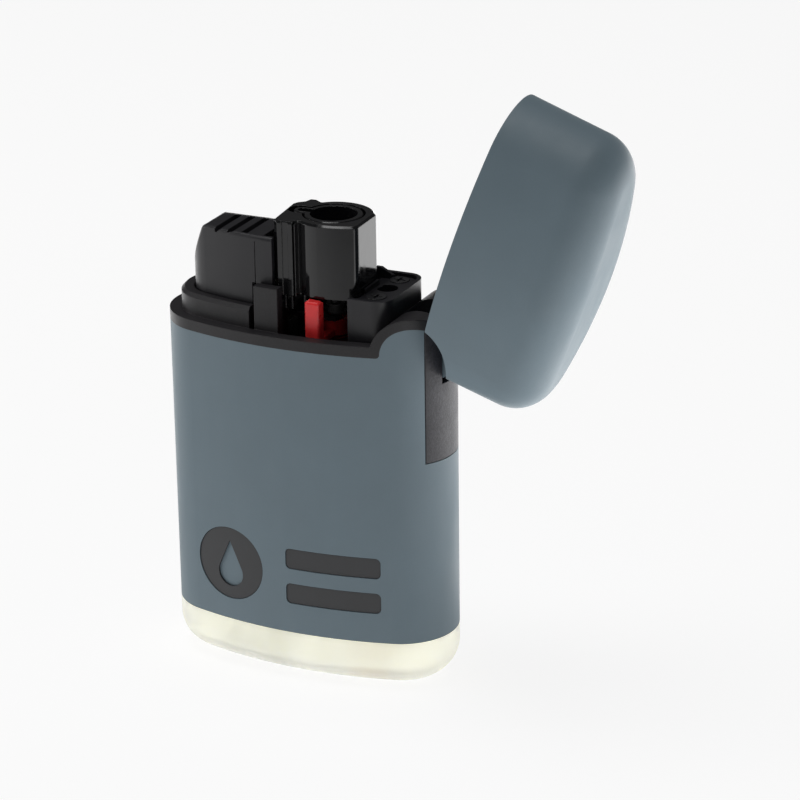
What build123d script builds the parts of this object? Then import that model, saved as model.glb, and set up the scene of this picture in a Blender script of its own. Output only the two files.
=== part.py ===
from build123d import *
import os
from math import radians, sqrt, tan

# Windproof pocket lighter: a butane torch lighter with a piezo push button and a hinged cap.
# Millimetres. +Z is up, the lid's hinge is at +X, and the front face looks towards -Y.
# The origin is the centre of the tank's flat underside. The lid is modelled open.

# ---- body ----
HALF_WIDTH = 18.5
HALF_DEPTH = 8.63
END_RADIUS = 7.08
FOOT_HEIGHT = 6.5
FOOT_FILLET = 4.4
SLEEVE_TOP = 43.34
SLEEVE_WALL = 1.2
RIM_TOP = 44.7
FRAME_INSET = 1.25
BAY_INSET = 1.5
DECK_TOP = 43.0
DECK_BOTTOM = 41.6
SKIRT_BOTTOM = 36.0
SKIRT_INSET = 2.3
HINGE_BLOCK_LEFT = 11.0
HINGE_BLOCK_BOTTOM = 37.6

# ---- emblem ----
EMBLEM_X = -8.1
EMBLEM_Z = 14.0
DISC_R = 4.7
DROP_R = 1.8
BAR_X = 5.9
BARS_Z = (16.3, 11.7)
BAR_LENGTH = 12.0
BAR_HEIGHT = 2.6
EMBLEM_POCKET = 0.35
EMBLEM_SINK = 0.1

# ---- hinge ----
HINGE_X = 15.5
HINGE_Z = 43.65
SLEEVE_HUMP_R = 3.3
RIM_HUMP_R = 4.5
HINGE_PIN_R = 0.75
HINGE_PIN_HALF = 4.3
PIN_RUNNING_GAP = 0.05
PANEL_HALF_WIDTH = 4.55
PANEL_BOTTOM = 29.7
PANEL_SEAM = 0.1
PANEL_LEFT = 10.0
SLOT_HALF_WIDTH = 2.3
SLOT_BOTTOM = 39.4
SLOT_LEFT = 13.0

# ---- lid ----
LID_HALF_WIDTH = 18.15
LID_HALF_DEPTH = 8.6
LID_END_RADIUS = 7.0
LID_WALL = 0.95
LID_BOTTOM = 44.85
LID_HEIGHT = 15.85
LID_TAPER = 0.9
LID_CROWN = 1.6
LID_TOP_FILLET = 5.0
LID_RELIEF_R = 4.75
LID_OPEN_ANGLE = 109.4
TONGUE_HALF_WIDTH = 2.05
TONGUE_R = 4.45
TONGUE_WEB_R = 6.2
HUB_R = 1.9

# ---- button and piezo unit ----
BUTTON_HALF_WIDTH = 15.2
BUTTON_HALF_DEPTH = 5.64
BUTTON_END_RADIUS = 4.09
BUTTON_TOP = 55.9
BUTTON_RIM_FILLET = 0.45
BUTTON_SKIRT_BOTTOM = 44.6
BUTTON_TOE = 50.0
BUTTON_TOE_X = -5.2
BUTTON_RIGHT = -3.75
BUTTON_WALL = 1.0
BUTTON_GAP = 0.2
SLOPE_BOTTOM = 49.8
SLOPE_ANGLE = 24.0
SLOPE_TOP_FILLET = 0.9
CREST_Y = 0.6
CHEEK_LEFT = -4.72
CHEEK_RIGHT = -2.38
CHEEK_INNER_Y = 4.9
GROOVES_X = (-10.4, -8.55, -6.65)
GROOVE_DEPTH = 0.55
GROOVE_FRONT = -4.75
GROOVE_BACK = 1.3
COLLAR_INSET = 1.5
COLLAR_TOP = 47.35
COLLAR_RIGHT = -5.0
COLLAR_CHAMFER = 0.45
POST_LEFT = -4.25
POST_RIGHT = -1.05
POST_INNER_Y = 5.75
POST_TOP = 50.15
SCREEN_TOP = 48.4
SCREEN_FRONT = 5.5
PIEZO_X = -9.9
PIEZO_BOTTOM = 18.6
PIEZO_TOP = 40.9
PIEZO_HALF_WIDTH = 3.4
PIEZO_HALF_DEPTH = 2.8
PIEZO_WALL = 0.8
CRYSTAL_R = 1.5
CRYSTAL_BOTTOM = 19.9
CRYSTAL_TOP = 25.5
CONTACT_BOTTOM = 19.4
CONTACT_TOP = 26.5
PLUNGER_BOTTOM = 30.4
PLUNGER_TOP = 51.5
PLUNGER_BORE_R = 1.45
PLUNGER_BORE_TOP = 49.0
HAMMER_R = 1.35
HAMMER_BOTTOM = 28.6
HAMMER_TOP = 35.0
ELECTRODE_R = 0.25
LEAD_R = 0.5
LEAD_TOP = 44.9
LEAD_Z = 38.5
SPARK_Z = 55.4

# ---- gas train ----
AXIS_X = 3.2
VALVE_R = 2.0
VALVE_SHANK_R = 2.4
VALVE_NECK_R = 0.95
VALVE_BORE_R = 0.65
VALVE_NECK_TOP = 44.9
STEM_HEAD_R = 0.97
STEM_HEAD_BOTTOM = 45.7
STEM_HEAD_TOP = 46.95
LEVER_X = -2.6
LEVER_Z = 46.2
LEVER_PIN_R = 0.5
LEVER_BOTTOM = 45.15
LEVER_TOP = 45.55
LEVER_HEEL_TOP = 46.5
LUG_INNER_Y = 3.2
LUG_OUTER_Y = 4.7
LUG_REACH = 0.9
ADJUSTER_BOTTOM = 43.15
TAB_LEFT = 2.0
TAB_RIGHT = 3.88
TAB_FRONT = -6.1
TAB_BACK = -4.75
TAB_TOP = 48.8
REFILL_X = 7.5
REFILL_R = 2.4
REFILL_MOUTH_R = 1.6
REFILL_BORE_R = 0.95
REFILL_MOUTH_TOP = 2.4
REFILL_SHOULDER = 4.6
REFILL_CHAMBER_R = 1.7
REFILL_CHAMBER_TOP = 7.6
TANK_TOP = 31.0
TANK_FLOOR = 2.4
TANK_LID_BOTTOM = 29.4
TANK_INSET = 1.35
CAVITY_INSET = 2.6
WELL_FLOOR = 17.0
WELL_RIGHT = -4.4
GAS_SIDE_LEFT = -3.2
VALVE_BASE = 26.4
VALVE_CHAMBER_R = 1.9
VALVE_CHAMBER_TOP = 34.0
SEAL_BOTTOM = 27.9
SEAL_TOP = 28.25
ORIFICE_R = 0.45

# ---- burner ----
BURNER_TOP = 58.04
ELECTRODE_X = -0.9
SHROUD_BOTTOM = 48.9
SHROUD_R = 4.85
SHROUD_BORE_R = 3.8
FLAT_FRONT_X = 7.96
FLAT_FRONT_Y = -3.7
FLAT_BACK_X = 7.8
FLAT_BACK_Y = 1.9
FLAT_CORNER_R = 0.9
TUBE_R = 3.52
TUBE_BORE_R = 2.86
TUBE_BOTTOM = 49.6
PRONG_BOTTOM = 47.2
KEYHOLE_TIP = -1.5
KEYHOLE_HALF_WIDTH = 0.57
NOZZLE_R = 1.9
NOZZLE_BOTTOM = 49.7
NOZZLE_TOP = 52.4
PLATE_BOTTOM = 53.2
PLATE_TOP = 53.8
PLATE_HOLE_R = 0.45
PLATE_HOLE_CIRCLE = 1.7

# ---- block between burner and hinge ----
BLOCK_LEFT = 7.5
BLOCK_RIGHT = 12.6
BLOCK_HALF_DEPTH = 5.75
BLOCK_TOP = 49.75
BLOCK_LIP = 0.5
BLOCK_CORNER = 2.0
TRAY_FLOOR = 49.25
BORE_X = 9.9
BORE_Y = 0.35
BORE_R = 1.3
SCREWS_X = 10.0
SCREWS_Y = (-2.95, 3.6)
SCREW_R = 0.7
SCREW_HEAD_R = 1.2
SCREW_HEAD_BOTTOM = 48.9
SCREW_HEAD_TOP = 49.5

FAR = 60.0


def oval(half_width, half_depth, end_radius):
    """Face of a four-arc oval: two end arcs joined tangentially by flatter front and back arcs."""
    end_x = half_width - end_radius
    front_radius = (end_x ** 2 + half_depth ** 2 - end_radius ** 2) / (2 * (half_depth - end_radius))
    reach = end_radius / (front_radius - end_radius)
    joint_x = end_x * (1 + reach)
    joint_y = (front_radius - half_depth) * reach
    arcs = [
        ThreePointArc((joint_x, -joint_y), (half_width, 0), (joint_x, joint_y)),
        ThreePointArc((joint_x, joint_y), (0, half_depth), (-joint_x, joint_y)),
        ThreePointArc((-joint_x, joint_y), (-half_width, 0), (-joint_x, -joint_y)),
        ThreePointArc((-joint_x, -joint_y), (0, -half_depth), (joint_x, -joint_y)),
    ]
    return make_face(arcs)


def body_oval(inset=0.0):
    """The body's outline, moved inwards by a constant distance."""
    return oval(HALF_WIDTH - inset, HALF_DEPTH - inset, END_RADIUS - inset)


def slab(face, bottom, top):
    """A face in the XY plane raised from one height to another."""
    return extrude(Pos(0, 0, bottom) * face, amount=top - bottom, dir=(0, 0, 1))


def block(x0, x1, y0, y1, z0, z1):
    """An axis-aligned box between two corners."""
    return Pos((x0 + x1) / 2, (y0 + y1) / 2, (z0 + z1) / 2) * Box(x1 - x0, y1 - y0, z1 - z0)


def span(x0, x1, z0, z1):
    """A box of unlimited depth."""
    return block(x0, x1, -FAR, FAR, z0, z1)


def rod(x, y, bottom, top, radius):
    """An upright cylinder."""
    return Pos(x, y, (bottom + top) / 2) * Cylinder(radius, top - bottom)


def ring(x, y, bottom, top, outer, inner):
    """An upright tube."""
    return rod(x, y, bottom, top, outer) - rod(x, y, bottom - 1, top + 1, inner)


def cross_rod(x, z, half_length, radius):
    """A cylinder along Y, centred on the XZ plane."""
    return Pos(x, 0, z) * Rot(90, 0, 0) * Cylinder(radius, 2 * half_length)


def side_prism(face, half_depth=FAR / 2):
    """A face drawn in the XZ plane, spread along Y both ways."""
    return extrude(Plane.XZ * face, amount=half_depth, both=True)


def coil(x, bottom, top, radius, wire, turns):
    """A helical spring with its axis upright."""
    path = Helix((top - bottom - 2 * wire) / turns, top - bottom - 2 * wire, radius)
    start = Plane(origin=path @ 0, z_dir=path % 0)
    return Pos(x, 0, bottom + wire) * sweep(start * Circle(wire), path=path, is_frenet=True)


def mirrored_pair(solid):
    """A solid and its mirror image across the XZ plane."""
    return solid + mirror(solid, about=Plane.XZ)


def hinge_swing(solid):
    """Turns a solid of the closed lid about the hinge axis into the open position."""
    return Pos(HINGE_X, 0, HINGE_Z) * Rot(0, LID_OPEN_ANGLE, 0) * Pos(-HINGE_X, 0, -HINGE_Z) * solid


# ---------------------------------------------------------------- outlines seen from the side
def hump_profile(level, radius, corner):
    """Side view of everything below a level edge that steps up round the hinge."""
    profile = Pos(0, level / 2) * Rectangle(2 * FAR, level)
    profile += Pos(HINGE_X, HINGE_Z) * Circle(radius)
    foot_x = HINGE_X - sqrt(radius ** 2 - (level - HINGE_Z) ** 2)
    inner_corner = profile.vertices().sort_by_distance((foot_x, level))[0]
    return fillet(inner_corner, corner)


def sleeve_envelope():
    return side_prism(hump_profile(SLEEVE_TOP, SLEEVE_HUMP_R, 0.5))


def rim_envelope():
    return side_prism(hump_profile(RIM_TOP, RIM_HUMP_R, 0.4))


# ---------------------------------------------------------------- emblem
def emblem_prisms(grow=0.0):
    """A plain disc with a drop-shaped window and two plain bars, spread along -Y."""
    disc = Pos(EMBLEM_X, EMBLEM_Z) * Circle(DISC_R + grow)
    drop_side = make_face(Polyline((-1.62, -0.5), (0, 3.0), (1.62, -0.5), (-1.62, -0.5)))
    drop = Pos(EMBLEM_X, EMBLEM_Z) * (Pos(0, -1.3) * Circle(DROP_R) + drop_side)
    bar = RectangleRounded(BAR_LENGTH + 2 * grow, BAR_HEIGHT + 2 * grow, 0.6 + grow)
    bars = [Pos(BAR_X, bar_z) * bar for bar_z in BARS_Z]
    faces = [disc - drop if grow == 0 else disc] + bars
    return [extrude(Plane.XZ * face, amount=FAR) for face in faces]


# ---------------------------------------------------------------- housing
def outer_sleeve():
    tube = slab(body_oval(), FOOT_HEIGHT, FAR) - slab(body_oval(SLEEVE_WALL), FOOT_HEIGHT - 1, FAR + 1)
    tube &= sleeve_envelope()
    tube -= block(PANEL_LEFT, FAR, -PANEL_HALF_WIDTH, PANEL_HALF_WIDTH, PANEL_BOTTOM, FAR)
    skin = slab(body_oval(-1), FOOT_HEIGHT, SKIRT_BOTTOM) - slab(body_oval(EMBLEM_POCKET), 0, FAR)
    for prism in emblem_prisms(0.05):
        tube -= prism & skin
    return tube


def emblem_inlay():
    layer = slab(body_oval(EMBLEM_SINK), FOOT_HEIGHT, SKIRT_BOTTOM)
    layer -= slab(body_oval(EMBLEM_POCKET - 0.01), 0, FAR)
    return Compound([solid for prism in emblem_prisms() for solid in (prism & layer).solids()])


def inner_frame():
    outside = slab(body_oval(), SKIRT_BOTTOM, FAR) & rim_envelope()
    band_seat = slab(body_oval(-1), 0, FAR) - slab(body_oval(FRAME_INSET), -1, FAR + 1)
    body = outside - (band_seat & sleeve_envelope())

    # textured panel that fills the sleeve's cut-out at the hinge end
    panel_width = PANEL_HALF_WIDTH - PANEL_SEAM
    panel = slab(body_oval(), PANEL_BOTTOM + PANEL_SEAM, FAR)
    panel -= slab(body_oval(FRAME_INSET), 0, HINGE_BLOCK_BOTTOM)
    panel &= block(PANEL_LEFT, FAR, -panel_width, panel_width, PANEL_BOTTOM, FAR)
    body += panel & rim_envelope()
    seam = block(PANEL_LEFT, FAR, panel_width, PANEL_HALF_WIDTH, PANEL_BOTTOM, FAR)
    body -= mirrored_pair(seam & band_seat & sleeve_envelope())

    # the open bay for the burner, left of the hinge block, and the hollow under the deck
    bay = slab(body_oval(BAY_INSET), DECK_TOP, FAR) - span(HINGE_BLOCK_LEFT, FAR, 0, FAR)
    bay += block_outline(FAR)
    under = slab(body_oval(SKIRT_INSET), SKIRT_BOTTOM - 1, DECK_BOTTOM)
    under -= span(HINGE_BLOCK_LEFT, FAR, HINGE_BLOCK_BOTTOM, FAR)
    body -= bay
    body -= under

    # slot for the lid's tongue, with the pin's holes through both cheeks
    body -= block(SLOT_LEFT, FAR, -SLOT_HALF_WIDTH, SLOT_HALF_WIDTH, SLOT_BOTTOM, FAR)
    body -= cross_rod(HINGE_X, HINGE_Z, HINGE_PIN_HALF, HINGE_PIN_R)

    # collar round the button
    collar = slab(body_oval(COLLAR_INSET), DECK_BOTTOM, COLLAR_TOP)
    collar = chamfer(collar.edges().group_by(Axis.Z)[-1], COLLAR_CHAMFER)
    collar &= span(-FAR, COLLAR_RIGHT, 0, FAR)
    body += collar
    body -= button_outline(BUTTON_GAP, SKIRT_BOTTOM - 1, FAR, COLLAR_RIGHT + 1)

    # guide posts, the lugs that carry the gas lever's pin, and the screen behind the burner
    post = slab(body_oval(BAY_INSET), DECK_BOTTOM, POST_TOP)
    post &= block(POST_LEFT, POST_RIGHT, POST_INNER_Y, FAR, DECK_BOTTOM, POST_TOP)
    lug = block(LEVER_X - LUG_REACH, LEVER_X + LUG_REACH, LUG_INNER_Y, LUG_OUTER_Y,
                DECK_BOTTOM, LEVER_Z + LUG_REACH)
    body += mirrored_pair(post + lug)
    screen = slab(body_oval(BAY_INSET), DECK_BOTTOM, SCREEN_TOP)
    body += screen & block(POST_RIGHT, BLOCK_LEFT - 0.1, SCREEN_FRONT, FAR, DECK_BOTTOM, SCREEN_TOP)
    body -= cross_rod(LEVER_X, LEVER_Z, LUG_OUTER_Y + 0.5, LEVER_PIN_R)

    # deck openings for the valve and the electrode lead
    body -= rod(AXIS_X, 0, 0, FAR, VALVE_R + 0.1)
    body -= rod(ELECTRODE_X, 0, 0, DECK_TOP + 0.1, LEAD_R + 0.1)
    return body


def fuel_tank():
    foot = slab(body_oval(), 0, FOOT_HEIGHT)
    foot = fillet(foot.edges().group_by(Axis.Z)[0], FOOT_FILLET)
    tank = foot + slab(body_oval(TANK_INSET), FOOT_HEIGHT, TANK_TOP)
    cavity = slab(body_oval(CAVITY_INSET), TANK_FLOOR, WELL_FLOOR)
    cavity += slab(body_oval(CAVITY_INSET), WELL_FLOOR, FAR) & span(GAS_SIDE_LEFT, FAR, 0, FAR)
    well = slab(body_oval(CAVITY_INSET), WELL_FLOOR + 1.5, FAR) & span(-FAR, WELL_RIGHT, 0, FAR)
    tank -= cavity
    tank -= well
    tank += rod(REFILL_X, 0, 1.0, 6.4, REFILL_R + 1.0)
    return tank - rod(REFILL_X, 0, -1, 8, REFILL_R)


def tank_lid():
    plate = slab(body_oval(CAVITY_INSET), TANK_LID_BOTTOM, TANK_TOP) & span(GAS_SIDE_LEFT, FAR, 0, FAR)
    plate += rod(AXIS_X, 0, VALVE_BASE + 1.0, TANK_LID_BOTTOM, 3.6)
    return plate - rod(AXIS_X, 0, 0, FAR, VALVE_SHANK_R)


# ---------------------------------------------------------------- refill valve in the tank's floor
def refill_valve_body():
    body = rod(REFILL_X, 0, 0.7, 8.0, REFILL_R)
    body -= rod(REFILL_X, 0, 0, REFILL_MOUTH_TOP, REFILL_MOUTH_R)
    body -= rod(REFILL_X, 0, 0, REFILL_SHOULDER + 0.1, REFILL_BORE_R)
    body -= rod(REFILL_X, 0, REFILL_SHOULDER, REFILL_CHAMBER_TOP, REFILL_CHAMBER_R)
    return body - rod(REFILL_X, 0, REFILL_CHAMBER_TOP - 0.1, FAR, 0.6)


def refill_valve_stem():
    stem = rod(REFILL_X, 0, REFILL_MOUTH_TOP + 0.05, 5.0, REFILL_BORE_R - 0.07)
    return stem + rod(REFILL_X, 0, 5.0, 5.6, REFILL_CHAMBER_R - 0.2)


def refill_seal():
    return ring(REFILL_X, 0, REFILL_SHOULDER, REFILL_SHOULDER + 0.35, REFILL_CHAMBER_R, REFILL_BORE_R)


def refill_spring():
    return coil(REFILL_X, 5.65, REFILL_CHAMBER_TOP - 0.05, 1.2, 0.16, 3)


# ---------------------------------------------------------------- gas valve
def dip_tube():
    return ring(AXIS_X, 0, 9.0, VALVE_BASE, 1.5, 1.0)


def valve_seat():
    seat = rod(AXIS_X, 0, VALVE_BASE, SEAL_BOTTOM, VALVE_CHAMBER_R)
    seat += rod(AXIS_X, 0, VALVE_BASE - 1.4, VALVE_BASE, 1.0)
    return seat - rod(AXIS_X, 0, 0, FAR, ORIFICE_R)


def valve_seal():
    return ring(AXIS_X, 0, SEAL_BOTTOM, SEAL_TOP, VALVE_CHAMBER_R - 0.05, ORIFICE_R)


def valve_body():
    body = rod(AXIS_X, 0, VALVE_BASE, TANK_TOP, VALVE_SHANK_R)
    body += rod(AXIS_X, 0, TANK_TOP, TANK_TOP + 0.9, VALVE_SHANK_R + 1.0)
    body += rod(AXIS_X, 0, TANK_TOP + 0.9, DECK_TOP, VALVE_R)
    body += rod(AXIS_X, 0, DECK_TOP, VALVE_NECK_TOP, VALVE_NECK_R)
    body -= rod(AXIS_X, 0, 20, VALVE_CHAMBER_TOP, VALVE_CHAMBER_R)
    return body - rod(AXIS_X, 0, 30, FAR, VALVE_BORE_R)


def valve_stem():
    stem = rod(AXIS_X, 0, SEAL_TOP + 0.05, SEAL_TOP + 1.05, VALVE_CHAMBER_R - 0.2)
    stem += rod(AXIS_X, 0, SEAL_TOP + 1.05, NOZZLE_BOTTOM + 0.5, VALVE_BORE_R - 0.05)
    stem += rod(AXIS_X, 0, STEM_HEAD_BOTTOM, STEM_HEAD_TOP, STEM_HEAD_R)
    stem += rod(AXIS_X, 0, STEM_HEAD_TOP - 0.2, STEM_HEAD_TOP, STEM_HEAD_R + 0.18)
    return stem - rod(AXIS_X, 0, 0, FAR, 0.25)


def valve_spring():
    return coil(AXIS_X, SEAL_TOP + 1.1, VALVE_CHAMBER_TOP - 0.05, 1.5, 0.2, 5)


def flame_adjuster():
    """Hub on the valve's neck, with an arm to the upright thumb tab at the front."""
    hub = ring(AXIS_X, 0, ADJUSTER_BOTTOM, VALVE_NECK_TOP + 0.15, 1.5, VALVE_NECK_R + PIN_RUNNING_GAP)
    arm = block(AXIS_X - 0.55, AXIS_X + 0.55, TAB_BACK, -1.2, ADJUSTER_BOTTOM, ADJUSTER_BOTTOM + 0.8)
    tab = block(TAB_LEFT, TAB_RIGHT, TAB_FRONT, TAB_BACK, ADJUSTER_BOTTOM, TAB_TOP)
    tab = fillet(tab.edges().filter_by(Axis.Z).group_by(Axis.Y)[0], 0.25)
    tab = fillet(tab.edges().group_by(Axis.Z)[-1], 0.35)
    heel = block(TAB_LEFT + 0.8, TAB_RIGHT + 0.3, TAB_BACK - 0.4, TAB_BACK, TAB_TOP - 0.3, TAB_TOP)
    return hub + arm + tab - heel


def gas_lever():
    """Fork that straddles the valve's stem, with a hub on its pin and a heel under the button."""
    prong_end = AXIS_X + 0.9
    lever = block(-5.0, prong_end, -1.9, 1.9, LEVER_BOTTOM, LEVER_TOP)
    lever += block(-5.0, -4.2, -1.5, 1.5, LEVER_BOTTOM, LEVER_HEEL_TOP)
    lever += cross_rod(LEVER_X, LEVER_Z, 3.0, 0.95)
    lever -= block(-1.6, prong_end + 1, -0.72, 0.72, 45, 48)
    return lever - cross_rod(LEVER_X, LEVER_Z, 4, LEVER_PIN_R + PIN_RUNNING_GAP)


def lever_pin():
    return cross_rod(LEVER_X, LEVER_Z, LUG_OUTER_Y, LEVER_PIN_R)


# ---------------------------------------------------------------- burner
def keyhole(radius, half_width, tip_x):
    """A circle about the burner's axis with a round-ended slot towards the button."""
    slot_length = AXIS_X - tip_x
    slot = Pos(AXIS_X - slot_length / 2, 0) * RectangleRounded(slot_length, 2 * half_width, half_width * 0.98)
    root_length = slot_length - half_width
    root = Pos(AXIS_X - root_length / 2, 0) * Rectangle(root_length, 2 * half_width)
    return Pos(AXIS_X, 0) * Circle(radius) + slot + root


def burner_tube():
    wall = TUBE_R - TUBE_BORE_R
    tube = slab(keyhole(TUBE_R, KEYHOLE_HALF_WIDTH + 0.42, KEYHOLE_TIP - 0.5), TUBE_BOTTOM, BURNER_TOP)
    tube = chamfer(tube.edges().group_by(Axis.Z)[-1], 0.12)
    tube -= slab(keyhole(TUBE_BORE_R, KEYHOLE_HALF_WIDTH, KEYHOLE_TIP), TUBE_BOTTOM + wall, FAR)
    tube -= rod(AXIS_X, 0, 0, FAR, NOZZLE_R)
    return tube - rod(ELECTRODE_X, 0, 0, FAR, ELECTRODE_R + 0.1)


def shroud_outline(gap=0.0):
    """The shroud's bulging front, its flat side towards the hinge block, and the round back."""
    radius = SHROUD_R + gap
    front = (AXIS_X, -radius)
    back = (AXIS_X, radius)
    flat_front = (FLAT_FRONT_X + gap, FLAT_FRONT_Y - gap)
    flat_back = (FLAT_BACK_X + gap, FLAT_BACK_Y + gap)
    outline = make_face([
        ThreePointArc(back, (AXIS_X - radius, 0), front),
        TangentArc(front, flat_front, tangent=(1, 0)),
        Line(flat_front, flat_back),
        TangentArc(back, flat_back, tangent=(1, 0)),
    ])
    corner = outline.vertices().sort_by_distance(flat_front)[0]
    return fillet(corner, FLAT_CORNER_R)


def burner_shroud():
    """Shroud with a flat side towards the hinge block and a block of ribs towards the button."""
    left = make_face(Polyline((-2.65, -4.2), (-1.85, -5.1), (0.5, -5.1), (0.5, -4.2), (AXIS_X, -4.2),
                              (AXIS_X, 4.2), (-0.1, 3.6), (-1.0, 4.25), (-1.95, 4.2), (-2.2, 3.1),
                              (-2.9, 2.5), (-3.2, 1.7), (-2.65, -4.2)))
    shroud = slab(shroud_outline() + left, SHROUD_BOTTOM, BURNER_TOP)
    shroud = chamfer(shroud.edges().group_by(Axis.Z)[-1], 0.25)
    corner = make_face(Polyline((-4, 50.1), (-1.88, 50.1), (-1.26, 48.7), (-1.2, 40), (-4, 40), (-4, 50.1)))
    shroud -= side_prism(corner)
    shroud -= slab(keyhole(SHROUD_BORE_R, KEYHOLE_HALF_WIDTH + 0.8, KEYHOLE_TIP - 1.2), 40, FAR)
    # the moulded ribs at the front left, and the clip prongs below them
    shroud -= block(-1.25, -0.45, -6, -4.97, 40, FAR)
    shroud -= block(0.12, 0.4, -6, -4.4, 40, FAR)
    for prong_x in (-1.05, -0.15):
        shroud += block(prong_x - 0.13, prong_x + 0.13, -4.95, -4.45, PRONG_BOTTOM, 50)
    return shroud


def jet_nozzle():
    nozzle = rod(AXIS_X, 0, NOZZLE_BOTTOM, NOZZLE_TOP, NOZZLE_R)
    nozzle -= rod(AXIS_X, 0, 0, 51.3, NOZZLE_R - 0.2)
    return nozzle - rod(AXIS_X, 0, 0, FAR, 0.3)


def flame_plate():
    plate = rod(AXIS_X, 0, PLATE_BOTTOM, PLATE_TOP, TUBE_BORE_R)
    plate -= rod(AXIS_X, 0, 0, FAR, PLATE_HOLE_R)
    for location in PolarLocations(PLATE_HOLE_CIRCLE, 6):
        plate -= Pos(AXIS_X, 0, PLATE_TOP) * location * Cylinder(PLATE_HOLE_R, 2)
    return plate


def block_outline(top):
    """The block's outside, rounded at the two corners by the hinge."""
    body = block(BLOCK_LEFT, BLOCK_RIGHT, -BLOCK_HALF_DEPTH, BLOCK_HALF_DEPTH, DECK_TOP, top)
    return fillet(body.edges().filter_by(Axis.Z).sort_by(Axis.X)[-2:], BLOCK_CORNER)


def burner_block():
    """Glossy block between the burner and the hinge, with a raised lip, a bore and two screw recesses."""
    body = block_outline(BLOCK_TOP)
    tray_half_depth = BLOCK_HALF_DEPTH - BLOCK_LIP
    tray_right = BLOCK_RIGHT - BLOCK_LIP
    tray = block(BLOCK_LEFT - 0.5, tray_right, -tray_half_depth, tray_half_depth, TRAY_FLOOR, FAR)
    tray = fillet(tray.edges().filter_by(Axis.Z).sort_by(Axis.X)[-2:], BLOCK_CORNER - BLOCK_LIP)
    body -= tray
    step = block(8.9, 11.75, -4.85, 4.85, TRAY_FLOOR, TRAY_FLOOR + 0.18)
    body += fillet(step.edges().filter_by(Axis.Z), 0.9)
    # seat that carries the shroud's flat side, with its gusset at the back
    body += block(BLOCK_LEFT, 8.25, -2.2, 1.7, TRAY_FLOOR, 49.9)
    gusset = make_face(Polyline((6.7, 49), (6.7, 50.6), (7.4, 50.6), (9.4, 49.5), (9.4, 49), (6.7, 49)))
    body += Pos(0, 4.25, 0) * side_prism(gusset, 0.22)
    body -= rod(BORE_X, BORE_Y, 46.5, FAR, BORE_R)
    for screw_y in SCREWS_Y:
        body -= rod(SCREWS_X, screw_y, SCREW_HEAD_BOTTOM, FAR, SCREW_HEAD_R + 0.05)
        body -= rod(SCREWS_X, screw_y, 44.5, FAR, SCREW_R)
    return body - slab(shroud_outline(0.1), SHROUD_BOTTOM - 0.1, FAR)


def block_screws():
    screws = []
    for screw_y in SCREWS_Y:
        screw = rod(SCREWS_X, screw_y, SCREW_HEAD_BOTTOM, SCREW_HEAD_TOP, SCREW_HEAD_R)
        screw += rod(SCREWS_X, screw_y, 44.6, SCREW_HEAD_BOTTOM, SCREW_R)
        for half_x, half_y in ((0.15, 0.75), (0.75, 0.15)):
            cross = block(-half_x, half_x, -half_y, half_y, SCREW_HEAD_TOP - 0.3, FAR)
            screw -= Pos(SCREWS_X, screw_y, 0) * cross
        screws.append(screw)
    return Compound([solid for screw in screws for solid in screw.solids()])


# ---------------------------------------------------------------- ignition
def button_outline(gap, bottom, top, right):
    face = oval(BUTTON_HALF_WIDTH + gap, BUTTON_HALF_DEPTH + gap, BUTTON_END_RADIUS + gap)
    return slab(face, bottom, top) & span(-FAR, right, bottom, top)


def button_top(lower):
    """Everything under the button's top: a level top, a slope down its free end and a fall behind."""
    left = -BUTTON_HALF_WIDTH - 0.05
    shoulder_x = left + (BUTTON_TOP - SLOPE_BOTTOM) * tan(radians(SLOPE_ANGLE))
    profile = make_face(Polyline((left, 0), (left, SLOPE_BOTTOM), (shoulder_x, BUTTON_TOP), (0, BUTTON_TOP),
                                 (0, 0), (left, 0)))
    profile = fillet(profile.vertices().sort_by_distance((shoulder_x, BUTTON_TOP))[0], SLOPE_TOP_FILLET)
    profile = fillet(profile.vertices().sort_by_distance((left, SLOPE_BOTTOM))[0], 4.0)
    crest_foot = (CREST_Y + 6.0, BUTTON_TOP - 2.6)
    crest = Spline((CREST_Y, BUTTON_TOP), (CREST_Y + 2.8, BUTTON_TOP - 0.75), crest_foot,
                   tangents=((1, 0), (1, -0.7)))
    fall = Polyline(crest_foot, (CREST_Y + 6.0, 0), (-FAR, 0), (-FAR, BUTTON_TOP), (CREST_Y, BUTTON_TOP))
    back = extrude(Plane.YZ * make_face([crest, fall]), amount=FAR, both=True)
    return Pos(lower, 0, -lower) * (side_prism(profile) & back)


def rounded_rim(solid):
    """Rounds the edges where a solid's walls meet the button's top."""
    wall = oval(BUTTON_HALF_WIDTH, BUTTON_HALF_DEPTH, BUTTON_END_RADIUS).face().outer_wire()
    rim = []
    for edge in solid.edges():
        middle = edge @ 0.5
        on_wall = wall.distance_to(Vertex(middle.X, middle.Y, 0)) < 0.02
        if on_wall and edge.geom_type != GeomType.LINE and middle.Z > SLOPE_BOTTOM + 2:
            rim.append(edge)
    return fillet(rim, BUTTON_RIM_FILLET)


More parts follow.
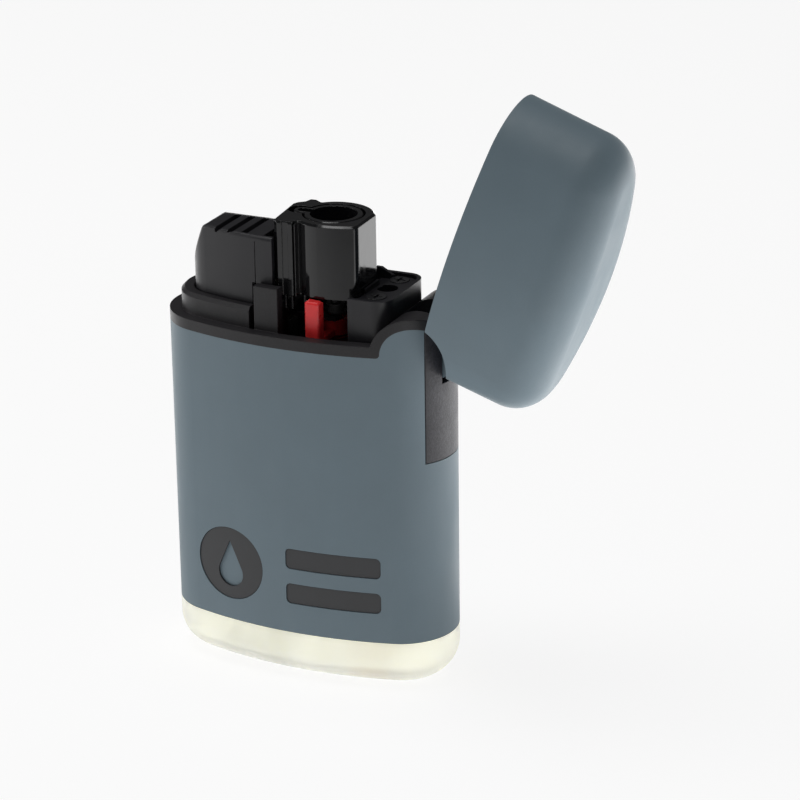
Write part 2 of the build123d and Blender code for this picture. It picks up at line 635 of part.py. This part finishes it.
def ignition_button():
    """Hollow thumb button with grip grooves and two cheeks that reach round the burner's shroud."""
    outside = button_top(0)
    button = rounded_rim(button_outline(0, BUTTON_SKIRT_BOTTOM, FAR, BUTTON_RIGHT) & outside)
    cheek = rounded_rim(button_outline(0, BUTTON_TOE, FAR, CHEEK_RIGHT) & outside)
    button += cheek & block(CHEEK_LEFT, 0, -FAR, -CHEEK_INNER_Y, 0, FAR)
    button += cheek & block(CHEEK_LEFT, 0, CHEEK_INNER_Y, FAR, 0, FAR)
    button -= span(BUTTON_TOE_X, 0, 0, BUTTON_TOE)
    hollow = slab(oval(BUTTON_HALF_WIDTH - BUTTON_WALL, BUTTON_HALF_DEPTH - BUTTON_WALL,
                       BUTTON_END_RADIUS - BUTTON_WALL), 0, FAR)
    hollow &= span(-FAR, BUTTON_TOE_X, 0, FAR)
    button -= hollow & button_top(1.3)
    button += block(PIEZO_X - 2.2, PIEZO_X + 2.2, -1.8, 1.8, PLUNGER_TOP, BUTTON_TOP - 0.8)
    for groove_x in GROOVES_X:
        floor = BUTTON_TOP - GROOVE_DEPTH
        mouth_left = (groove_x - 0.15, BUTTON_TOP + 0.2)
        groove = make_face(Polyline(mouth_left, (groove_x - 0.1, floor), (groove_x + 0.15, floor),
                                    (groove_x + 0.95, BUTTON_TOP + 0.2), mouth_left))
        button -= side_prism(groove) & block(-FAR, 0, GROOVE_FRONT, GROOVE_BACK, 0, FAR)
    # parting line between the thumb part and the cheeks
    line = button_outline(1, BUTTON_TOE - 1, FAR, 0) - button_outline(-0.12, BUTTON_TOE - 2, FAR + 1, 1)
    return button - (line & span(CHEEK_LEFT - 0.05, CHEEK_LEFT + 0.05, BUTTON_TOE - 1, BUTTON_TOP - 0.7))


def piezo_case():
    case = block(PIEZO_X - PIEZO_HALF_WIDTH, PIEZO_X + PIEZO_HALF_WIDTH, -PIEZO_HALF_DEPTH, PIEZO_HALF_DEPTH,
                 PIEZO_BOTTOM, PIEZO_TOP)
    case = fillet(case.edges().filter_by(Axis.Z), 0.6)
    inner_width = PIEZO_HALF_WIDTH - PIEZO_WALL
    inner_depth = PIEZO_HALF_DEPTH - PIEZO_WALL
    case -= block(PIEZO_X - inner_width, PIEZO_X + inner_width, -inner_depth, inner_depth,
                  CONTACT_TOP + 0.1, FAR)
    return case - rod(PIEZO_X, 0, CONTACT_BOTTOM, 30, CRYSTAL_R)


def piezo_plunger():
    half_width = PIEZO_HALF_WIDTH - PIEZO_WALL - 0.1
    half_depth = PIEZO_HALF_DEPTH - PIEZO_WALL - 0.1
    plunger = block(PIEZO_X - half_width, PIEZO_X + half_width, -half_depth, half_depth,
                    PLUNGER_BOTTOM, PLUNGER_TOP)
    return plunger - rod(PIEZO_X, 0, 0, PLUNGER_BORE_TOP, PLUNGER_BORE_R)


def piezo_hammer():
    return rod(PIEZO_X, 0, HAMMER_BOTTOM, HAMMER_TOP, HAMMER_R)


def piezo_crystal():
    return rod(PIEZO_X, 0, CRYSTAL_BOTTOM, CRYSTAL_TOP, CRYSTAL_R)


def piezo_contacts():
    lower = rod(PIEZO_X, 0, CONTACT_BOTTOM, CRYSTAL_BOTTOM, CRYSTAL_R)
    upper = rod(PIEZO_X, 0, CRYSTAL_TOP, CONTACT_TOP, CRYSTAL_R)
    return Compound([lower.solid(), upper.solid()])


def piezo_impact_spring():
    return coil(PIEZO_X, HAMMER_TOP + 0.05, PLUNGER_BORE_TOP - 0.05, 1.15, 0.18, 9)


def piezo_return_spring():
    return coil(PIEZO_X, CONTACT_TOP + 0.15, PLUNGER_BOTTOM - 0.05, 1.62, 0.2, 4)


def spark_electrode():
    foot = (ELECTRODE_X, 0, LEAD_TOP)
    path = FilletPolyline(foot, (ELECTRODE_X, 0, SPARK_Z), (0.6, 0, SPARK_Z), radius=0.8)
    return sweep(Plane(origin=foot, z_dir=(0, 0, 1)) * Circle(ELECTRODE_R), path=path)


def electrode_lead():
    end = (ELECTRODE_X, 0, LEAD_TOP)
    path = FilletPolyline(end, (ELECTRODE_X, 0, LEAD_Z), (PIEZO_X + PIEZO_HALF_WIDTH, 0, LEAD_Z), radius=2.0)
    return sweep(Plane(origin=end, z_dir=(0, 0, -1)) * Circle(LEAD_R), path=path)


# ---------------------------------------------------------------- lid
def lid_form(inset):
    """The closed lid's outside, or its hollow when inset: a tapered oval with a crowned, rounded top."""
    face = oval(LID_HALF_WIDTH - inset, LID_HALF_DEPTH - inset, LID_END_RADIUS - inset)
    form = extrude(Pos(0, 0, LID_BOTTOM) * face, amount=LID_HEIGHT + 2, dir=(0, 0, 1), taper=LID_TAPER)
    crown_r = (LID_HALF_WIDTH ** 2 + LID_CROWN ** 2) / (2 * LID_CROWN)
    form &= cross_rod(0, LID_BOTTOM + LID_HEIGHT - inset - crown_r, 20, crown_r)
    return fillet(form.edges().group_by(Axis.Z)[-1], LID_TOP_FILLET - inset)


def lid_shell():
    relief = cross_rod(HINGE_X, HINGE_Z, 20, LID_RELIEF_R)
    shell = lid_form(0) - lid_form(LID_WALL)
    shell -= relief
    sector = make_face(Polyline((0, 0), (9, 13.2), (0.6, 14), (-4.6, 10), (0, 0)))
    tongue = side_prism(Pos(HINGE_X, HINGE_Z) * sector, TONGUE_HALF_WIDTH)
    tongue &= cross_rod(HINGE_X, HINGE_Z, TONGUE_HALF_WIDTH, TONGUE_R)
    web_sector = make_face(Polyline((0, 0), (9, 13.2), (0, 14), (0, 0)))
    web = side_prism(Pos(HINGE_X, HINGE_Z) * web_sector, TONGUE_HALF_WIDTH)
    web &= cross_rod(HINGE_X, HINGE_Z, TONGUE_HALF_WIDTH, TONGUE_WEB_R)
    web &= lid_form(0.3)
    hub = cross_rod(HINGE_X, HINGE_Z, TONGUE_HALF_WIDTH, HUB_R)
    shell += tongue + web + hub
    shell -= cross_rod(HINGE_X, HINGE_Z, 10, HINGE_PIN_R + PIN_RUNNING_GAP)
    return hinge_swing(shell)


def hinge_pin():
    return cross_rod(HINGE_X, HINGE_Z, HINGE_PIN_HALF, HINGE_PIN_R)


def lid_spring():
    """Folded leaf under the lid's hub."""
    strip = make_face(Polyline((13.2, SLOT_BOTTOM), (16.4, SLOT_BOTTOM), (16.4, 39.7), (13.9, 39.7),
                               (14.9, 40.9), (14.6, 41.2), (13.2, 39.75), (13.2, SLOT_BOTTOM)))
    return side_prism(strip, 1.6)


PARTS = [
    outer_sleeve, emblem_inlay, inner_frame, fuel_tank, tank_lid,
    refill_valve_body, refill_valve_stem, refill_seal, refill_spring,
    dip_tube, valve_seat, valve_seal, valve_body, valve_stem, valve_spring,
    flame_adjuster, gas_lever, lever_pin,
    burner_tube, burner_shroud, jet_nozzle, flame_plate, burner_block, block_screws,
    ignition_button, piezo_case, piezo_plunger, piezo_hammer, piezo_crystal, piezo_contacts,
    piezo_impact_spring, piezo_return_spring, spark_electrode, electrode_lead,
    lid_shell, hinge_pin, lid_spring,
]

os.makedirs("parts", exist_ok=True)
for make in PARTS:
    export_step(make(), f"parts/{make.__name__}.step")
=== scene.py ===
from math import cos, pi, radians, sin

import bpy
from mathutils import Matrix, Vector

# Windproof pocket lighter: materials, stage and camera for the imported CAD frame. Metres, +Z up.

MM = 0.001

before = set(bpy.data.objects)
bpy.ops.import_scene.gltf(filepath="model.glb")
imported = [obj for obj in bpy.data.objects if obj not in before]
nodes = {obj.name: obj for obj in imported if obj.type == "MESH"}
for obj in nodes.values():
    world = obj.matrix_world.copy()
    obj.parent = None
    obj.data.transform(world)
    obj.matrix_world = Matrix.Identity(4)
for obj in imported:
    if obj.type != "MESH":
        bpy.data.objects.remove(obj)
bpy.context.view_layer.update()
scene = bpy.context.scene


# ---------------------------------------------------------------- shader building blocks
class Shader:
    """A Principled material whose colour, roughness and relief come from procedural textures."""

    def __init__(self, name):
        self.material = bpy.data.materials.new(name)
        self.material.use_nodes = True
        self.tree = self.material.node_tree
        self.tree.nodes.clear()
        self.output = self.add("ShaderNodeOutputMaterial")
        self.surface = self.add("ShaderNodeBsdfPrincipled")
        self.link(self.surface.outputs["BSDF"], self.output.inputs["Surface"])
        self.place = self.add("ShaderNodeTexCoord").outputs["Object"]
        self.base_normal = None

    def add(self, kind, **settings):
        node = self.tree.nodes.new(kind)
        for key, value in settings.items():
            setattr(node, key, value)
        return node

    def link(self, source, target):
        self.tree.links.new(source, target)

    def set(self, **values):
        """Constant values, set on the shader's own sockets."""
        for key, value in values.items():
            self.surface.inputs[key.replace("_", " ")].default_value = value

    def noise(self, size, detail=3.0, roughness=0.5, distortion=0.0):
        """Noise whose features are about `size` millimetres across."""
        node = self.add("ShaderNodeTexNoise")
        node.inputs["Scale"].default_value = 1 / (size * MM)
        node.inputs["Detail"].default_value = detail
        node.inputs["Roughness"].default_value = roughness
        node.inputs["Distortion"].default_value = distortion
        self.link(self.place, node.inputs["Vector"])
        return node.outputs["Fac"]

    def scratches(self, size, stretch):
        """Noise drawn out along one direction, for brushed or scuffed surfaces."""
        mapping = self.add("ShaderNodeMapping")
        mapping.inputs["Scale"].default_value = stretch
        self.link(self.place, mapping.inputs["Vector"])
        node = self.add("ShaderNodeTexNoise")
        node.inputs["Scale"].default_value = 1 / (size * MM)
        node.inputs["Detail"].default_value = 4.0
        self.link(mapping.outputs["Vector"], node.inputs["Vector"])
        return node.outputs["Fac"]

    def remap(self, source, low, high, to_low, to_high):
        """Straight-line change of range, held at both ends."""
        node = self.add("ShaderNodeMapRange")
        for key, value in (("From Min", low), ("From Max", high), ("To Min", to_low), ("To Max", to_high)):
            node.inputs[key].default_value = value
        self.link(source, node.inputs["Value"])
        return node.outputs["Result"]

    def combine(self, operation, first, *others):
        """One value from several, by a math operation."""
        result = first
        for other in others:
            node = self.add("ShaderNodeMath", operation=operation)
            self.link(result, node.inputs[0])
            self.link(other, node.inputs[1])
            result = node.outputs["Value"]
        return result

    def multiply(self, *sources):
        return self.combine("MULTIPLY", *sources)

    def maximum(self, *sources):
        return self.combine("MAXIMUM", *sources)

    def total(self, *sources):
        return self.combine("ADD", *sources)

    def split(self, vector):
        """The X, Y and Z of a vector, as named outputs."""
        node = self.add("ShaderNodeSeparateXYZ")
        self.link(vector, node.inputs["Vector"])
        return node.outputs

    def ramp(self, source, stops):
        """Colours along a value: stops are (position, (r, g, b))."""
        node = self.add("ShaderNodeValToRGB")
        ramp = node.color_ramp
        while len(ramp.elements) < len(stops):
            ramp.elements.new(0.5)
        for element, (position, colour) in zip(ramp.elements, stops):
            element.position = position
            element.color = (*colour, 1.0)
        self.link(source, node.inputs["Fac"])
        return node.outputs["Color"]

    def mix(self, amount, first, second):
        """Blend of two colours, on the mix node's colour sockets."""
        first_socket, second_socket, colour_output = 6, 7, 2
        node = self.add("ShaderNodeMix", data_type="RGBA")
        self.link(amount, node.inputs["Factor"])
        self.link(first, node.inputs[first_socket])
        self.link(second, node.inputs[second_socket])
        return node.outputs[colour_output]

    def soften_edges(self, radius):
        """Moulded edges catch the light as if rounded by `radius` millimetres."""
        node = self.add("ShaderNodeBevel", samples=4)
        node.inputs["Radius"].default_value = radius * MM
        self.base_normal = node.outputs["Normal"]

    def relief(self, *layers):
        """Bump from (height source, depth in millimetres) layers, laid one on another."""
        normal = self.base_normal
        for height, depth in layers:
            bump = self.add("ShaderNodeBump")
            bump.inputs["Strength"].default_value = 1.0
            bump.inputs["Distance"].default_value = depth * MM
            self.link(height, bump.inputs["Height"])
            if normal is not None:
                self.link(normal, bump.inputs["Normal"])
            normal = bump.outputs["Normal"]
        self.link(normal, self.surface.inputs["Normal"])


def tint(colour, factor):
    """A lighter or darker version of a colour."""
    return tuple(min(1.0, channel * factor) for channel in colour)


# ---------------------------------------------------------------- materials
def soft_touch(name):
    """Blue-grey soft-touch paint: velvety, with a fine grain and faint handling marks."""
    s = Shader(name)
    base = (0.150, 0.205, 0.240)
    cloud = s.noise(9.0, 4.0, 0.55)
    grain = s.noise(0.16, 2.0, 0.6)
    colour = s.ramp(cloud, [(0.3, tint(base, 0.95)), (0.7, tint(base, 1.05))])
    light_speck = s.ramp(cloud, [(0.0, tint(base, 1.3)), (1.0, tint(base, 1.3))])
    colour = s.mix(s.remap(grain, 0.35, 0.7, 0.0, 0.12), colour, light_speck)
    s.link(colour, s.surface.inputs["Base Color"])
    handling = s.multiply(cloud, s.scratches(1.6, (1.0, 1.0, 0.25)))
    s.link(s.remap(handling, 0.12, 0.42, 0.52, 0.64), s.surface.inputs["Roughness"])
    s.relief((grain, 0.004), (s.noise(1.1, 2.0), 0.003))
    s.set(IOR=1.5, Sheen_Weight=0.12, Sheen_Roughness=0.4)
    return s.material


def moulded_plastic(name, base, roughness, grain_size, grain_depth, variation=0.12):
    """Moulded plastic with the spark-eroded grain of its tool and slight changes of tone and polish."""
    s = Shader(name)
    s.soften_edges(0.12)
    cloud = s.noise(3.0, 3.0)
    grain = s.noise(grain_size, 2.0, 0.65)
    colour = s.ramp(cloud, [(0.3, tint(base, 1 - variation)), (0.7, tint(base, 1 + variation))])
    s.link(colour, s.surface.inputs["Base Color"])
    s.link(s.remap(cloud, 0.3, 0.7, roughness - 0.05, roughness + 0.06), s.surface.inputs["Roughness"])
    s.relief((grain, grain_depth), (s.noise(0.9, 2.0), 0.004))
    s.set(IOR=1.5)
    return s.material


def textured_frame(name):
    """Black frame moulding with a coarse sparkling grain on its outer end panel."""
    s = Shader(name)
    rim = (0.0100, 0.0090, 0.0108)
    panel = (0.030, 0.029, 0.036)
    panel_start, panel_full = 16.6 * MM, 17.4 * MM
    cloud = s.noise(3.0, 3.0)
    grain = s.noise(0.14, 2.0, 0.65)
    coarse = s.noise(0.32, 3.0, 0.7)
    s.soften_edges(0.14)
    on_panel = s.remap(s.split(s.place)["X"], panel_start, panel_full, 0.0, 1.0)
    smooth = s.ramp(grain, [(0.4, tint(rim, 0.85)), (0.75, tint(rim, 1.7))])
    rough = s.ramp(coarse, [(0.35, tint(panel, 0.7)), (0.7, tint(panel, 1.5))])
    s.link(s.mix(on_panel, smooth, rough), s.surface.inputs["Base Color"])
    s.link(s.remap(cloud, 0.3, 0.7, 0.44, 0.54), s.surface.inputs["Roughness"])
    s.relief((grain, 0.010), (s.multiply(coarse, on_panel), 0.05))
    s.set(IOR=1.5)
    return s.material


def polished_plastic(name, base, roughness=0.09):
    """Polished moulding: glossy walls with faint ripples and scuffs, satin faces where it looks up."""
    s = Shader(name)
    colour = s.ramp(s.noise(2.2, 3.0), [(0.3, tint(base, 0.85)), (0.7, tint(base, 1.15))])
    s.link(colour, s.surface.inputs["Base Color"])
    s.soften_edges(0.12)
    scuffs = s.scratches(0.5, (1.0, 1.0, 0.08))
    dust = s.remap(s.noise(0.35, 2.0, 0.7), 0.62, 0.75, 0.0, 0.22)
    scuff_roughness = s.remap(scuffs, 0.45, 0.75, roughness, roughness + 0.1)
    facing = s.split(s.add("ShaderNodeNewGeometry").outputs["Normal"])
    satin_top = s.remap(facing["Z"], 0.8, 0.95, 0.0, 0.4)
    s.link(s.maximum(scuff_roughness, dust, satin_top), s.surface.inputs["Roughness"])
    s.relief((s.noise(1.8, 1.0), 0.006), (s.noise(0.2, 2.0), 0.0006))
    s.set(IOR=1.5)
    return s.material


def frosted_tank(name):
    """Milky translucent plastic with a painted glow: emission stands in for light it gathers from the
    table, brightest at its ends, towards the top where it meets the sleeve, and in streaky bands.
    """
    s = Shader(name)
    base = (0.97, 0.965, 0.86)
    cloud = s.noise(6.0, 3.0, 0.5, 0.6)
    colour = s.ramp(cloud, [(0.3, tint(base, 0.94)), (0.7, tint(base, 1.04))])
    s.link(colour, s.surface.inputs["Base Color"])
    s.link(s.remap(cloud, 0.3, 0.7, 0.34, 0.46), s.surface.inputs["Roughness"])
    s.relief((s.noise(0.22, 2.0), 0.004), (s.noise(5.0, 2.0), 0.08))
    place = s.split(s.place)
    # painted glow: emission strength rises towards both ends, towards the top where the tank meets the
    # sleeve, and along stretched noise bands
    from_middle = s.add("ShaderNodeMath", operation="ABSOLUTE")
    s.link(place["X"], from_middle.inputs[0])
    ends = s.remap(from_middle.outputs["Value"], 8 * MM, 18 * MM, 0.0, 0.06)
    painted_glow_at_joint = s.remap(place["Z"], 1.5 * MM, 5.5 * MM, 0.0, 0.06)
    painted_glow_streaks = s.remap(s.scratches(6.0, (1.0, 1.0, 0.5)), 0.3, 0.7, 0.0, 0.12)
    # the summed painted glow drives the emission, though the tank is no lamp
    s.link(s.total(ends, painted_glow_at_joint, painted_glow_streaks), s.surface.inputs["Emission Strength"])
    s.set(IOR=1.46, Transmission_Weight=0.6, Subsurface_Weight=0.8, Subsurface_Scale=0.01,
          Emission_Color=(1.0, 0.985, 0.87, 1.0))
    s.surface.inputs["Subsurface Radius"].default_value = (1.0, 0.97, 0.85)
    return s.material


def clear_red(name):
    """Saturated red acetal, slightly waxy."""
    s = Shader(name)
    base = (0.92, 0.042, 0.045)
    s.soften_edges(0.15)
    cloud = s.noise(1.4, 3.0)
    colour = s.ramp(cloud, [(0.3, tint(base, 0.9)), (0.7, tint(base, 1.1))])
    s.link(colour, s.surface.inputs["Base Color"])
    s.link(s.remap(cloud, 0.3, 0.7, 0.26, 0.36), s.surface.inputs["Roughness"])
    s.relief((s.noise(0.12, 2.0), 0.002), (s.noise(0.8, 2.0), 0.006))
    s.set(IOR=1.48, Subsurface_Weight=0.12, Subsurface_Scale=0.0008)
    return s.material


def metal(name, base, roughness):
    """Turned or drawn metal: fine tool lines, slight tarnish."""
    s = Shader(name)
    lines = s.scratches(0.3, (1.0, 1.0, 12.0))
    tarnish = s.noise(1.2, 4.0, 0.6)
    s.link(s.ramp(tarnish, [(0.35, tint(base, 0.78)), (0.65, base)]), s.surface.inputs["Base Color"])
    polish = s.multiply(lines, tarnish)
    s.link(s.remap(polish, 0.1, 0.4, roughness - 0.06, roughness + 0.1), s.surface.inputs["Roughness"])
    s.relief((lines, 0.003))
    s.set(Metallic=1.0)
    return s.material


def soft_seal(name, base):
    """Rubber or soft insulation with a dull bloom."""
    s = Shader(name)
    bloom = s.noise(0.6, 4.0, 0.6)
    colour = s.ramp(bloom, [(0.3, tint(base, 0.85)), (0.75, tint(base, 1.35))])
    s.link(colour, s.surface.inputs["Base Color"])
    s.link(s.remap(bloom, 0.3, 0.7, 0.55, 0.75), s.surface.inputs["Roughness"])
    s.relief((bloom, 0.006))
    return s.material


MATERIALS = {
    "sleeve_soft_touch": soft_touch("sleeve_soft_touch"),
    "frame_black": textured_frame("frame_black"),
    "tank_clear": frosted_tank("tank_clear"),
    "gloss_black": polished_plastic("gloss_black", (0.0075, 0.0075, 0.0085)),
    "button_black": moulded_plastic("button_black", (0.0115, 0.0110, 0.0140), 0.42, 0.1, 0.005),
    "adjuster_red": clear_red("adjuster_red"),
    "stem_grey": moulded_plastic("stem_grey", (0.09, 0.09, 0.092), 0.4, 0.1, 0.003),
    "emblem_black": moulded_plastic("emblem_black", (0.034, 0.035, 0.038), 0.45, 0.12, 0.004),
    "valve_brass": metal("valve_brass", (0.72, 0.52, 0.24), 0.3),
    "spring_steel": metal("spring_steel", (0.5, 0.5, 0.52), 0.28),
    "steel": metal("steel", (0.56, 0.56, 0.57), 0.32),
    "screw_black": moulded_plastic("screw_black", (0.02, 0.02, 0.022), 0.3, 0.08, 0.004),
    "seal_rubber": soft_seal("seal_rubber", (0.02, 0.02, 0.021)),
    "inner_white": moulded_plastic("inner_white", (0.72, 0.72, 0.69), 0.42, 0.1, 0.003, 0.05),
    "crystal_ceramic": moulded_plastic("crystal_ceramic", (0.62, 0.6, 0.52), 0.6, 0.06, 0.005, 0.05),
    "lead_insulation": soft_seal("lead_insulation", (0.03, 0.03, 0.034)),
}


def dress_cad_nodes():
    """Each CAD node takes the detailed material of its record slot."""
    for node in nodes.values():
        for entry in node.material_slots:
            slot_name = entry.material.name.split(".")[0]
            entry.material = MATERIALS[slot_name]


# ---------------------------------------------------------------- stage
FLOOR_REACH = 3.0
FLOOR_GLOW = 0.85
FLOOR_DIMMED_GLOW = 0.25
DIMMING_START = 0.05
DIMMING_END = 0.24
FLOOR_ALBEDO = 0.18
FRONT = Vector((0.42, -0.907, 0.0))
WORLD_GLOW = 0.07


def build_floor():
    """Luminous white table that dims gently towards the front, where the object's faces look."""
    mesh = bpy.data.meshes.new("floor")
    signs = ((-1, -1), (1, -1), (1, 1), (-1, 1))
    corners = [(x * FLOOR_REACH, y * FLOOR_REACH, 0) for x, y in signs]
    mesh.from_pydata(corners, [], [(0, 1, 2, 3)])
    floor = bpy.data.objects.new("floor", mesh)
    scene.collection.objects.link(floor)
    s = Shader("floor_pale")
    ahead = s.add("ShaderNodeVectorMath", operation="DOT_PRODUCT")
    ahead.inputs[1].default_value = FRONT
    s.link(s.place, ahead.inputs[0])
    dimming = s.add("ShaderNodeMapRange", interpolation_type="SMOOTHSTEP")
    dimming.inputs["From Min"].default_value = DIMMING_START
    dimming.inputs["From Max"].default_value = DIMMING_END
    dimming.inputs["To Min"].default_value = FLOOR_GLOW
    dimming.inputs["To Max"].default_value = FLOOR_DIMMED_GLOW
    s.link(ahead.outputs["Value"], dimming.inputs["Value"])
    s.link(dimming.outputs["Result"], s.surface.inputs["Emission Strength"])
    s.set(Base_Color=(FLOOR_ALBEDO, FLOOR_ALBEDO, FLOOR_ALBEDO, 1.0), Roughness=0.9)
    s.set(Emission_Color=(1, 1, 1, 1), Specular_IOR_Level=0.0)
    mesh.materials.append(s.material)


def softbox(name, place, aim, size, radiance, seen=True):
    """Rectangular area light of a given brightness."""
    light = bpy.data.lights.new(name, "AREA")
    light.shape = "RECTANGLE"
    light.size, light.size_y = size
    light.energy = radiance * pi * size[0] * size[1]
    lamp = bpy.data.objects.new(name, light)
    lamp.location = place
    lamp.rotation_euler = (Vector(aim) - Vector(place)).to_track_quat("-Z", "Y").to_euler()
    lamp.visible_camera = seen
    scene.collection.objects.link(lamp)


def table_glow(name, x, y, width, depth, radiance):
    """Patch of the table top that shines upwards, as a light table does, without hiding the floor."""
    place = Vector((x, y, 1.0 * MM))
    softbox(name, place, place + Vector((0, 0, 1)), (width, depth), radiance, seen=False)


def build_lights():
    """Dim room, a table that glows behind and beside the object, and soft boxes left, front and above."""
    world = bpy.data.worlds.new("studio")
    world.use_nodes = True
    background = world.node_tree.nodes["Background"]
    background.inputs["Color"].default_value = (1.0, 1.0, 1.0, 1.0)
    background.inputs["Strength"].default_value = WORLD_GLOW
    scene.world = world
    table_glow("far_glow", x=0.10, y=0.45, width=1.1, depth=0.46, radiance=3.2)
    table_glow("near_glow", x=0.0, y=0.12, width=0.5, depth=0.2, radiance=1.25)
    table_glow("right_glow", x=0.20, y=-0.02, width=0.3, depth=0.16, radiance=1.1)
    middle = (0.0, 0.0, 0.04)
    softbox("left_panel", (-0.7, -0.2, 0.2), middle, (0.4, 0.45), 2.5)
    softbox("overhead", (-0.1, -0.05, 0.8), middle, (0.5, 0.5), 4.1)
    softbox("front_left", (-0.45, -0.55, 0.35), middle, (0.4, 0.4), 0.17)


CAMERA_PLACE = Vector((0.16442, -0.32894, 0.17588))
CAMERA_AZIMUTH = radians(24.932)
CAMERA_ELEVATION = radians(21.15)
CAMERA_ROLL = radians(-0.811)
CAMERA_SENSOR = 36.0
CAMERA_LENS = 145.73


def build_camera():
    """Long lens raised above the object, aimed at the corner between its front and its hinge end."""
    azimuth, elevation, roll = CAMERA_AZIMUTH, CAMERA_ELEVATION, CAMERA_ROLL
    right = Vector((cos(azimuth), sin(azimuth), 0))
    back = Vector((sin(azimuth) * cos(elevation), -cos(azimuth) * cos(elevation), sin(elevation)))
    up = back.cross(right)
    rolled_right = right * cos(roll) + up * sin(roll)
    rolled_up = up * cos(roll) - right * sin(roll)
    data = bpy.data.cameras.new("camera")
    data.sensor_width = CAMERA_SENSOR
    data.lens = CAMERA_LENS
    data.clip_start = 0.01
    data.clip_end = 20.0
    camera = bpy.data.objects.new("camera", data)
    turn = Matrix((rolled_right, rolled_up, back)).transposed().to_4x4()
    camera.matrix_world = Matrix.Translation(CAMERA_PLACE) @ turn
    scene.collection.objects.link(camera)
    scene.camera = camera


dress_cad_nodes()
build_floor()
build_lights()
build_camera()
scene.view_settings.view_transform = "Standard"
